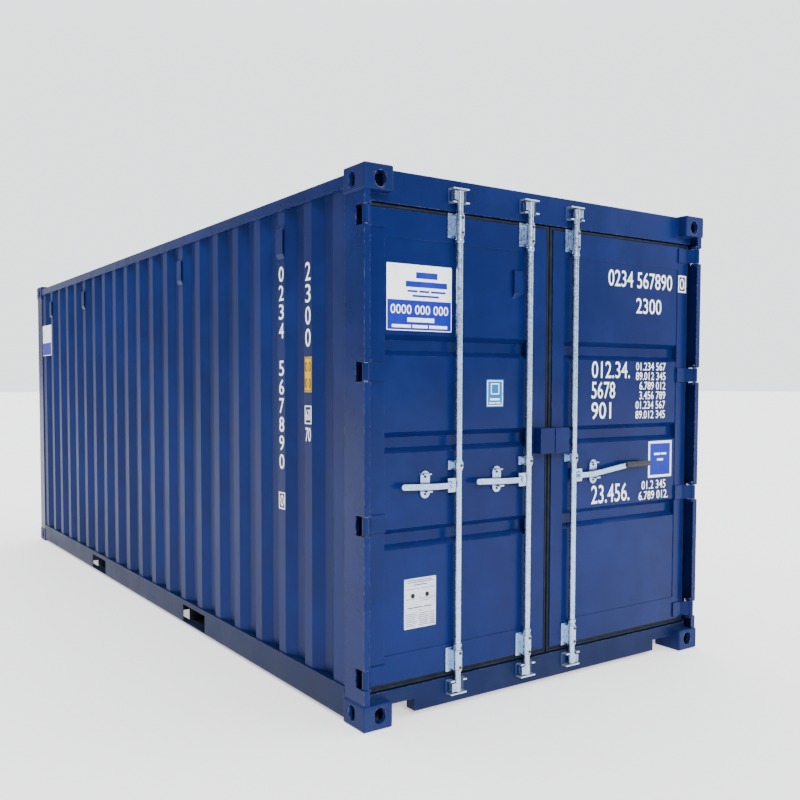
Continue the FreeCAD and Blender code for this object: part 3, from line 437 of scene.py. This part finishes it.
# Side vents: small pressed hoods under the top rail, open downwards to keep out rain.
# Each is sprayed with the wall and held by four blind rivets.
def dome(radius, tall, turn):
    """A rivet head: a short drum with its rim rounded over."""
    head = begin(bpy.ops.mesh.primitive_cylinder_add, vertices=12, radius=radius,
                 depth=tall * 2, rotation=turn)
    bpy.ops.object.transform_apply(location=True, rotation=True, scale=True)
    bpy.ops.object.mode_set(mode="EDIT")
    bpy.ops.mesh.select_all(action="SELECT")
    bpy.ops.mesh.bevel(offset=min(radius, tall) * 0.6, segments=2)
    bpy.ops.object.mode_set(mode="OBJECT")
    return head


FACING_SIDE = (math.pi / 2, 0, 0)
FACING_DOOR = (0, math.pi / 2, 0)
LEFT_AND_RIGHT = ((-1, "left"), (1, "right"))
fold_pitch = 0.278
vent_x = [fold_pitch * step + aside for step in (8, 3, -5, -9) for aside in (-0.027, 0.027)]
for side, word in LEFT_AND_RIGHT:
    settle(spread(dome(0.005, 0.002, FACING_SIDE),
                  [(x, side * 1.2052, z) for x in vent_x for z in (2.246, 2.424)]),
           f"vent_rivets_{word}", wall_paint, "box_frame", 40)

# Doors: hollow frames with a pressed panel welded inside, smoother than the walls.  The
# panel seam shows as a fine bead, and low scuffs come from pallets and boots.
door_paint = finish_of("door_paint", lambda place, shader: marine_paint(
    place, shader, chips=0.745, runs=0.25, mud=0.25, chalk=0.25, rubbed=0.12, gloss=0.25))
coat(door_paint, "door_left_frame", "door_left_panel", "door_right_frame",
     "door_right_panel", "door_left_hinge_blades", "door_right_hinge_blades",
     "door_left_vent", "lock_box_left", "lock_box_right")
leaf_x, panel_x = 2.969, 2.965
window_low, window_high, window_far = 0.314, 2.282, 1.065
for side, word, inner in ((-1, "left", 0.150), (1, "right", 0.112)):
    near, far = side * inner, side * window_far
    corners = [(panel_x + 0.0005, y, z) for y, z in (
        (near, window_high), (far, window_high), (near, window_low), (far, window_low))]
    welds(f"door_{word}_panel_welds", weld_paint, f"{word}_door",
          [(corners[0], corners[1]), (corners[2], corners[3]),
           (corners[3], corners[1]), (corners[2], corners[0])], 0.0026)

# Door seals: black rubber extrusions round each leaf, greyed by dust, with a lip that
# wipes the frame.  The lip is a thin ring moulded on the front of the body.
def seal_rubber(position, shader):
    """Dull rubber, dusty in the creases, with faint extrusion lines."""
    dusty = position.noise(20.0, 5.0, 0.65).over(0.40, 0.72)
    dusty.blend((0.0035, 0.006, 0.012, 1), (0.012, 0.017, 0.026, 1)).feed(shader, "Base Color")
    (dusty * 0.2 + 0.62).feed(shader, "Roughness")
    position.noise(150.0, 3.0, 0.6, stretch=(1, 1, 0.05)).relief(shader, 0.3, 0.001)
    shader.inputs["Specular IOR Level"].default_value = 0.15


rubber = finish_of("seal_rubber", seal_rubber)
coat(rubber, "door_left_gasket", "door_right_gasket")
lip_wide, lip_thick, lip_round = 0.0115, 0.005, 0.002
for word in ("left", "right"):
    low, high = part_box(f"door_{word}_gasket")
    ring = begin(bpy.ops.mesh.primitive_plane_add, size=1, rotation=FACING_DOOR,
                 location=(high[0] + 0.002, (low[1] + high[1]) / 2, (low[2] + high[2]) / 2))
    ring.scale = (high[2] - low[2] - 0.002, high[1] - low[1] - 0.002, 1)
    bpy.ops.object.transform_apply(location=True, rotation=True, scale=True)
    bpy.ops.object.mode_set(mode="EDIT")
    bpy.ops.mesh.select_all(action="SELECT")
    bpy.ops.mesh.inset(thickness=lip_wide)
    bpy.ops.mesh.delete(type="FACE")
    bpy.ops.object.mode_set(mode="OBJECT")
    wall = ring.modifiers.new("wall", "SOLIDIFY")
    wall.thickness, wall.offset = lip_thick, 0
    edge = ring.modifiers.new("edge", "BEVEL")
    edge.width, edge.segments = lip_round, 2
    settle(ring, f"door_{word}_seal_lip", rubber, f"{word}_door", 50)

# Hinges: forged blades welded to the leaves, turning on zinc pins in lugs on the posts.
# They are painted with the doors, and the paint has rubbed off where they turn.
coat(zinc_steel, "hinge_pins")
hinge_levels, blade_half = (0.238, 0.950, 1.655, 2.363), 0.0425
blade_x, blade_root, blade_tip = leaf_x + 0.0005, 1.062, 1.146
edges = [level + up for level in hinge_levels for up in (-blade_half, blade_half)]
for side, word in LEFT_AND_RIGHT:
    welds(f"door_{word}_hinge_welds", weld_paint, f"{word}_door",
          [((blade_x, side * blade_root, z), (blade_x, side * blade_tip, z)) for z in edges])

# Lock gear: zinc-coated tubes, cams, keepers and bearing brackets, riveted to the leaves.
# Each keeper's base plate was painted over with the header or sill that it is welded to.
PLATE_FRONT = 2.9752     # the keepers' base plates end here and their lugs begin


def part_painted_zinc(position, shader):
    """Zinc lugs on a base plate that is painted over."""
    bare = position.along("X").over(PLATE_FRONT, PLATE_FRONT + 0.001)
    cloud = position.noise(16.0, 4.0, 0.6)
    metal = cloud.over(0.25, 0.70).blend((0.44, 0.53, 0.64, 1), (0.68, 0.78, 0.89, 1))
    bare.blend(cloud.over(0.36, 0.66).blend(DEEP_BLUE, SEA_BLUE), metal).feed(
        shader, "Base Color")
    (bare * 0.92).feed(shader, "Metallic")
    (cloud * 0.25 + 0.28).feed(shader, "Roughness")
    cloud.relief(shader, 0.3, 0.003)


coat(finish_of("part_painted_zinc", part_painted_zinc), "cam_keepers")
coat(zinc_steel, "lock_rod_one", "lock_rod_two", "lock_rod_three",
     "handle_one", "handle_two", "handle_three", "door_left_rod_brackets",
     "door_right_rod_brackets", "door_left_handle_catches", "door_right_handle_catch")


def black_bolts_and_hole_shade(position, shader):
    """Near-black with brown rust flecks: domed heads on the bearing brackets, and painted shade
    for the handle catches' holes.
    """
    spots = position.noise(200.0, 3.0, 0.6)
    spots.over(0.45, 0.65).blend((0.006, 0.006, 0.008, 1), (0.020, 0.013, 0.010, 1)).feed(
        shader, "Base Color")
    (spots * 0.3 + 0.35).feed(shader, "Roughness")
    spots.relief(shader, 0.2, 0.001)


bolt_and_hole_shade_finish = finish_of("black_bolts_and_hole_shade", black_bolts_and_hole_shade)
rod_x, barrel = 2.996, 0.024
rods = {"one": (-0.640, "left"), "two": (-0.170, "left"), "three": (0.166, "right")}
top_bearing, low_bearing, middle_guide, bolt_up = 2.366, 0.238, 1.203, 0.036
bolt_levels = [level + up for level in (top_bearing, low_bearing)
               for up in (-bolt_up, bolt_up)] + [middle_guide]
bolt_spots = {"left": [], "right": []}
for rod_y, word in rods.values():
    bolt_spots[word] += [(rod_x + barrel * 0.97, rod_y - 0.001, z) for z in bolt_levels]
for word, spots in bolt_spots.items():
    settle(spread(dome(0.0078, 0.0035, FACING_DOOR), spots), f"door_{word}_bracket_bolts",
           bolt_and_hole_shade_finish, f"{word}_door", 40)
# Painted shade: the black discs on the handle catches stand for the shade in the catches'
# holes.
catch_hole_shade = {"left": [-0.829, -0.369], "right": [0.347]}
for word, spots in catch_hole_shade.items():
    settle(spread(dome(0.0065, 0.003, FACING_DOOR),
                  [(leaf_x + 0.0065, y, z) for y in spots for z in (1.071, 1.155)]),
           f"door_{word}_catch_hole_shade", bolt_and_hole_shade_finish, f"{word}_door", 40)


def collar(rod_y, level):
    """A stop ring pinned to a rod: a drum with rounded rims."""
    ring = begin(bpy.ops.mesh.primitive_cylinder_add, vertices=28, radius=0.0215,
                 depth=0.020, location=(rod_x, rod_y, level))
    bpy.ops.object.transform_apply(location=True, rotation=True, scale=True)
    bpy.ops.object.mode_set(mode="EDIT")
    bpy.ops.mesh.select_all(action="SELECT")
    bpy.ops.mesh.bevel(offset=0.003, segments=2)
    bpy.ops.object.mode_set(mode="OBJECT")
    return ring


collar_levels = (top_bearing - 0.074, low_bearing + 0.074)
for name, (rod_y, _) in rods.items():
    settle(together([collar(rod_y, level) for level in collar_levels]),
           f"rod_{name}_collars", zinc_steel, f"rod_{name}", 40)

# Hand grip: a ribbed black rubber sleeve pushed over the end of the third handle, a tight
# fit on the flat bar and a little swollen at its mouth.
def grip_rubber(position, shader):
    """Moulded rubber, finely grained and slightly worn."""
    grain = position.noise(420.0, 2.0, 0.5)
    worn = position.noise(25.0, 4.0, 0.6).over(0.45, 0.75)
    worn.blend((0.010, 0.010, 0.011, 1), (0.035, 0.034, 0.034, 1)).feed(shader, "Base Color")
    (worn * 0.2 + 0.48).feed(shader, "Roughness")
    grain.relief(shader, 0.4, 0.0006)


grip_low, grip_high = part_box("handle_grip")
centre = [(low + high) / 2 for low, high in zip(grip_low, grip_high)]
sleeve = begin(bpy.ops.mesh.primitive_circle_add, vertices=28, radius=0.0150,
               location=(centre[0], grip_low[1] + 0.0015, centre[2]), rotation=FACING_SIDE)
bpy.ops.object.transform_apply(location=True, rotation=True, scale=True)
bpy.ops.object.mode_set(mode="EDIT")
bpy.ops.mesh.select_all(action="SELECT")
ribs, swell = 22, 1.10
pitch = (grip_high[1] - grip_low[1] - 0.003) / ribs
for _ in range(ribs):
    for share, grow in ((0.25, swell), (0.35, 1.0), (0.25, 1 / swell), (0.15, 1.0)):
        bpy.ops.mesh.extrude_region_move(
            TRANSFORM_OT_translate={"value": (0, pitch * share, 0)})
        bpy.ops.transform.resize(value=(grow, 1, grow),
                                 center_override=(centre[0], 0, centre[2]))
bpy.ops.mesh.select_all(action="SELECT")
bpy.ops.mesh.fill_holes(sides=40)
bpy.ops.mesh.normals_make_consistent(inside=False)
bpy.ops.object.mode_set(mode="OBJECT")
settle(sleeve, "handle_grip_sleeve", finish_of("grip_rubber", grip_rubber), "handle_three",
       50)
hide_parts("handle_grip")

# Painted figures: stencilled white digits on the doors and down one side, a little thin
# and dusty.  They are plain counting digits that stand for no real code or weight.
def stencil_white(position, shader):
    """Thin white paint, dusty and slightly worn through."""
    dusty = position.noise(30.0, 5.0, 0.65)
    dusty.over(0.40, 0.75).blend((0.92, 0.93, 0.94, 1), (0.70, 0.73, 0.77, 1)).feed(
        shader, "Base Color")
    (dusty * 0.3 + 0.35).feed(shader, "Roughness")
    dusty.relief(shader, 0.15, 0.001)


white_paint = finish_of("stencil_white", stencil_white)


def figures(text, corner, wide, tall, facing):
    """Digits filling a box whose lower left corner is given, on a door or the left side."""
    line = begin(bpy.ops.object.text_add)
    line.data.body, line.data.extrude, line.data.resolution_u = text, 0.01, 3
    line.data.offset = 0.004
    line.select_set(True)
    bpy.ops.object.convert(target="MESH")
    line = bpy.context.object
    across = [v.co.x for v in line.data.vertices]
    up = [v.co.y for v in line.data.vertices]
    left, low = min(across), min(up)
    stretch, rise = wide / (max(across) - left), tall / (max(up) - low)
    for point in line.data.vertices:
        u, v = (point.co.x - left) * stretch, (point.co.y - low) * rise
        proud = 0.0006 if point.co.z > 0 else 0.0001
        if facing == "door":
            point.co = (corner[0] + proud, corner[1] + u, corner[2] + v)
        else:
            point.co = (corner[0] + u, corner[1] - proud, corner[2] + v)
    return line


def flat_sheet(corner, wide, tall, facing, out):
    """A flat sheet off a door or the left side by out, left in edit mode, all selected."""
    if facing == "door":
        place = (corner[0] + out, corner[1] + wide / 2, corner[2] + tall / 2)
        turn, size = FACING_DOOR, (tall, wide, 1)
    else:
        place = (corner[0] + wide / 2, corner[1] - out, corner[2] + tall / 2)
        turn, size = FACING_SIDE, (wide, tall, 1)
    sheet = begin(bpy.ops.mesh.primitive_plane_add, size=1, location=place, rotation=turn)
    sheet.scale = size
    bpy.ops.object.transform_apply(location=True, rotation=True, scale=True)
    bpy.ops.object.mode_set(mode="EDIT")
    bpy.ops.mesh.select_all(action="SELECT")
    return sheet


def thicken(sheet, thick):
    """Ends the edit of a flat sheet and gives it its thickness."""
    bpy.ops.object.mode_set(mode="OBJECT")
    film = sheet.modifiers.new("film", "SOLIDIFY")
    film.thickness, film.offset = thick, 0
    bpy.ops.object.modifier_apply(modifier="film")
    return sheet


def border(corner, wide, tall, facing, line=0.009):
    """A painted box outline: a sheet with its middle cut out."""
    sheet = flat_sheet(corner, wide, tall, facing, 0.0004)
    bpy.ops.mesh.inset(thickness=line)
    bpy.ops.mesh.delete(type="FACE")
    return thicken(sheet, 0.0006)


right_marks = [figures("0234 567890", (panel_x, 0.462, 2.150), 0.555, 0.092, "door"),
               figures("0", (leaf_x, 1.083, 2.163), 0.042, 0.068, "door"),
               border((leaf_x, 1.069, 2.147), 0.072, 0.100, "door"),
               figures("2300", (panel_x, 0.700, 2.006), 0.222, 0.088, "door"),
               figures("012.34.", (panel_x, 0.337, 1.634), 0.316, 0.094, "door"),
               figures("5678", (panel_x, 0.337, 1.520), 0.192, 0.094, "door"),
               figures("901", (panel_x, 0.337, 1.406), 0.160, 0.094, "door"),
               figures("23.456.", (panel_x, 0.345, 0.932), 0.318, 0.104, "door"),
               figures("01.2 345", (panel_x, 0.770, 0.986), 0.215, 0.050, "door"),
               figures("6.789 012.", (panel_x, 0.745, 0.925), 0.265, 0.050, "door")]
small_rows = (("01.234 567", 0.264), ("89.012 345", 0.264), ("6.789 012", 0.232),
              ("3.456 789", 0.232), ("01.234 567", 0.264), ("89.012 345", 0.264))
row_end, first_row, row_pitch, row_tall = 0.970, 1.680, 0.0558, 0.046
for row, (text, wide) in enumerate(small_rows):
    right_marks.append(figures(text, (panel_x, row_end - wide, first_row - row * row_pitch),
                               wide, row_tall, "door"))
settle(together(right_marks), "door_right_figures", white_paint, "right_door")

side_y, digit_wide = -1.204, 0.052


def stack(text, middle, top, step, tall):
    """Digits one below another down a fold of the left side."""
    return [figures(digit, (middle - digit_wide / 2, side_y, top - step * row - tall),
                    digit_wide, tall, "side")
            for row, digit in enumerate(text) if digit != " "]


side_marks = stack("0234 567890", 2.224, 2.216, 0.0985, 0.080)
side_marks += [figures("0", (2.207, side_y, 0.952), 0.034, 0.062, "side"),
               border((2.191, side_y, 0.938), 0.066, 0.090, "side", 0.007)]
side_marks += stack("2300", 2.502, 2.208, 0.110, 0.092)
side_marks += [border((2.470, side_y, 1.400), 0.064, 0.092, "side", 0.006),
               figures("60", (2.479, side_y, 1.418), 0.044, 0.056, "side"),
               figures("70", (2.476, side_y, 1.312), 0.052, 0.070, "side")]
settle(together(side_marks), "side_figures", white_paint, "box_frame")

# Signs: thin printed vinyl and tin panels.  They are plain colour fields with rows of
# short bars where print would be, so they name nobody.
def vinyl(colour, shade_colour):
    """Printed vinyl of one colour, faded in patches, faintly creased."""
    def build(position, shader):
        fade = position.noise(9.0, 4.0, 0.6)
        fade.over(0.40, 0.72).blend(colour, shade_colour).feed(shader, "Base Color")
        (fade * 0.25 + 0.30).feed(shader, "Roughness")
        position.noise(60.0, 3.0, 0.5).relief(shader, 0.12, 0.001)
        shader.inputs["Specular IOR Level"].default_value = 0.15
    return build


white_vinyl = finish_of("white_vinyl", vinyl((0.90, 0.91, 0.92, 1), (0.78, 0.80, 0.82, 1)))
blue_vinyl = finish_of("blue_vinyl", vinyl((0.004, 0.012, 0.27, 1), (0.008, 0.020, 0.30, 1)))
pale_blue_vinyl = finish_of("pale_blue_vinyl", vinyl((0.004, 0.115, 0.34, 1),
                                                     (0.010, 0.15, 0.38, 1)))
yellow_vinyl = finish_of("yellow_vinyl", vinyl((0.70, 0.40, 0.0005, 1), (0.62, 0.35, 0.001, 1)))
ink = finish_of("print_ink", vinyl((0.006, 0.008, 0.018, 1), (0.012, 0.016, 0.034, 1)))


def panel(corner, wide, tall, facing, thick=0.0008, lift=0.0):
    """A thin sheet with rounded corners, its lower left corner given."""
    sheet = flat_sheet(corner, wide, tall, facing, lift + thick / 2)
    bpy.ops.mesh.bevel(offset=min(wide, tall) * 0.012, segments=2, affect="VERTICES")
    return thicken(sheet, thick)


def bars(corner, rows, facing, lift):
    """Rows of short bars: each row is height, thickness and (start, end) pairs."""
    pieces = []
    for up, thick, spans in rows:
        for start, end in spans:
            where = (corner[0], corner[1] + start, corner[2] + up) if facing == "door" else \
                (corner[0] + start, corner[1], corner[2] + up)
            pieces.append(panel(where, end - start, thick, facing, 0.0003, lift))
    return together(pieces)


sheet_thick, top_film = 0.0008, 0.0012      # a sign's sheet, and with its film on it
sign = (panel_x, -1.052, 1.852)
settle(panel(sign, 0.388, 0.312, "door"), "door_left_sign", white_vinyl, "left_door")
settle(panel((panel_x, -1.048, 1.856), 0.380, 0.140, "door", 0.0004, sheet_thick),
       "door_left_sign_blue", blue_vinyl, "left_door")
settle(together([figures("0000 000 000", (panel_x + top_film, -1.030, 1.930), 0.344,
                         0.044, "door"),
                 bars(sign, [(0.042, 0.020, [(0.120, 0.280)]),
                             (0.014, 0.014, [(0.030, 0.140), (0.150, 0.240),
                                             (0.250, 0.360)])], "door", top_film)]),
       "door_left_sign_white_print", white_paint, "left_door")
settle(bars(sign, [(0.248, 0.030, [(0.170, 0.300)]), (0.206, 0.028, [(0.110, 0.360)]),
                   (0.182, 0.010, [(0.120, 0.180), (0.190, 0.250), (0.260, 0.350)]),
                   (0.160, 0.010, [(0.150, 0.310)])], "door", sheet_thick),
       "door_left_sign_dark_print", blue_vinyl, "left_door")
label = (panel_x, -0.435, 1.484)
settle(panel(label, 0.116, 0.140, "door"), "door_left_label", pale_blue_vinyl, "left_door")
settle(together([border((panel_x + 0.0009, -0.429, 1.490), 0.104, 0.128, "door", 0.004),
                 border((panel_x + 0.0009, -0.405, 1.548), 0.056, 0.056, "door", 0.005),
                 bars(label, [(0.034, 0.010, [(0.026, 0.090)]),
                              (0.018, 0.006, [(0.020, 0.060), (0.066, 0.096)])],
                      "door", sheet_thick)]),
       "door_left_label_print", white_paint, "left_door")
square = (panel_x, 0.826, 1.052)
settle(panel(square, 0.210, 0.214, "door"), "door_right_sign", white_vinyl, "right_door")
settle(panel((panel_x, 0.840, 1.066), 0.182, 0.186, "door", 0.0004, sheet_thick),
       "door_right_sign_blue", blue_vinyl, "right_door")
settle(bars(square, [(0.132, 0.012, [(0.050, 0.104), (0.112, 0.160)]),
                     (0.098, 0.012, [(0.078, 0.132)])], "door", top_film),
       "door_right_sign_print", white_paint, "right_door")
tag = (2.467, side_y, 1.560)
settle(panel(tag, 0.070, 0.176, "side"), "side_height_tag", yellow_vinyl, "box_frame")
settle(together([figures("0.0", (2.475, side_y - 0.0009, 1.662), 0.054, 0.050, "side"),
                 figures("0 0", (2.475, side_y - 0.0009, 1.580), 0.054, 0.050, "side"),
                 border((2.469, side_y - 0.0006, 1.564), 0.066, 0.168, "side", 0.004)]),
       "side_height_tag_print", ink, "box_frame")
board, board_thick = (-2.858, side_y, 1.890), 0.0020
settle(panel(board, 0.330, 0.300, "side", board_thick), "side_sign", white_vinyl,
       "box_frame")
settle(panel((-2.852, side_y, 1.896), 0.318, 0.120, "side", 0.0004, board_thick),
       "side_sign_blue", blue_vinyl, "box_frame")

# Data plate: a bright stamped metal plate held by rivets, with ruled rows and two
# fixing holes, all blank.  The fixing holes are dark discs of painted shade.
def plate_metal(position, shader):
    """Brushed pale plate, a little tarnished."""
    brush = position.noise(80.0, 4.0, 0.6, stretch=(1, 0.06, 1))
    stain = position.noise(14.0, 4.0, 0.65).over(0.48, 0.75)
    tarnish = (brush * 0.5 + stain * 0.5).over(0.2, 0.9)
    tarnish.blend((0.60, 0.63, 0.72, 1), (0.42, 0.44, 0.52, 1)).feed(shader, "Base Color")
    (stain * 0.2 + 0.38).feed(shader, "Roughness")
    brush.relief(shader, 0.1, 0.0006)
    shader.inputs["Metallic"].default_value = 0.35


bright_plate = finish_of("plate_metal", plate_metal)
plate, plate_thick = (panel_x, -0.946, 0.424), 0.0012
settle(panel(plate, 0.192, 0.243, "door", plate_thick), "door_left_data_plate", bright_plate,
       "left_door")
rows = [(0.231, 0.003, [(0.026, 0.166)]), (0.222, 0.003, [(0.018, 0.174)]),
        (0.208, 0.004, [(0.056, 0.136)]), (0.190, 0.002, [(0.010, 0.088), (0.098, 0.184)]),
        (0.142, 0.002, [(0.010, 0.068), (0.088, 0.184)]), (0.130, 0.002, [(0.098, 0.148)]),
        (0.098, 0.004, [(0.020, 0.108), (0.114, 0.166)]), (0.083, 0.003, [(0.088, 0.108)])]
rows += [(0.012 + 0.0095 * step, 0.0024, [(0.008, 0.062 + 0.006 * (step % 3)),
                                          (0.088, 0.146 - 0.005 * (step % 2)), (0.153, 0.184)])
         for step in range(7)]
settle(bars(plate, rows, "door", plate_thick), "door_left_data_rows", ink, "left_door")
head_x = panel_x + 0.002
# Painted shade: the two fixing holes are shown as dark raised discs in print ink.
settle(spread(dome(0.0115, 0.0015, FACING_DOOR),
              [(head_x, y, 0.582) for y in (-0.895, -0.808)]),
       "door_left_plate_hole_shade", ink, "left_door", 40)
settle(spread(dome(0.003, 0.001, FACING_DOOR),
              [(head_x, y, z) for y in (-0.940, -0.760) for z in (0.430, 0.661)]),
       "door_left_plate_rivets", bright_plate, "left_door", 40)

# Camera: at the door end, out by the left side, at eye height.  Its slight shift keeps
# the uprights upright.
camera = bpy.data.objects.new("camera", bpy.data.cameras.new("camera"))
bpy.context.collection.objects.link(camera)
bpy.context.scene.camera = camera
turn, tilt = math.radians(57.01), math.radians(-2.62)
ahead = Vector((-math.sin(turn) * math.cos(tilt), math.cos(turn) * math.cos(tilt),
                math.sin(tilt)))
camera.rotation_mode = "QUATERNION"
camera.rotation_quaternion = ahead.to_track_quat("-Z", "Y")
camera.location = (6.267, -3.386, 1.595)
camera.data.sensor_width = 36
camera.data.lens = 39.015
camera.data.shift_x, camera.data.shift_y = 0.06, 0.031

# Studio: a pale matt floor, a soft sky that is brighter overhead and on the far side, and
# one broad key light on the doors.
floor = begin(bpy.ops.mesh.primitive_plane_add, size=400, location=(0, 0, -0.002))
floor.name = "studio_floor"


def studio_floor(position, shader):
    """A matt pale floor that fills the shade a little."""
    shader.inputs["Base Color"].default_value = (0.86, 0.86, 0.86, 1)
    shader.inputs["Roughness"].default_value = 0.9
    shader.inputs["Emission Color"].default_value = (1, 1, 1, 1)
    shader.inputs["Emission Strength"].default_value = 0.72


floor.data.materials.append(finish_of("studio_floor", studio_floor))
world = bpy.data.worlds.new("studio")
bpy.context.scene.world = world
world.use_nodes = True
sky = world.node_tree.nodes["Background"]
sky.inputs["Color"].default_value = (0.94, 0.97, 1.0, 1)
view = world.node_tree.nodes.new("ShaderNodeTexCoord")
direction = Shade(world.node_tree, view.outputs["Generated"])
bright_side = direction.node("VectorMath", {"operation": "DOT_PRODUCT"},
                             {0: direction, 1: (-0.42, 0.73, 0.54)}, 1)
overhead = direction.along("Z").over(0.30, 0.95)
(bright_side.over(0.10, 0.56) * 1.9 + overhead * 1.3 + 0.34).feed(sky, "Strength")
sun = bpy.data.lights.new("key", "SUN")
sun.energy, sun.angle = 3.3, math.radians(12)
key = bpy.data.objects.new("key", sun)
bpy.context.collection.objects.link(key)
key.rotation_mode = "QUATERNION"
key.rotation_quaternion = Vector((-0.84, 0.26, -0.48)).to_track_quat("-Z", "Y")
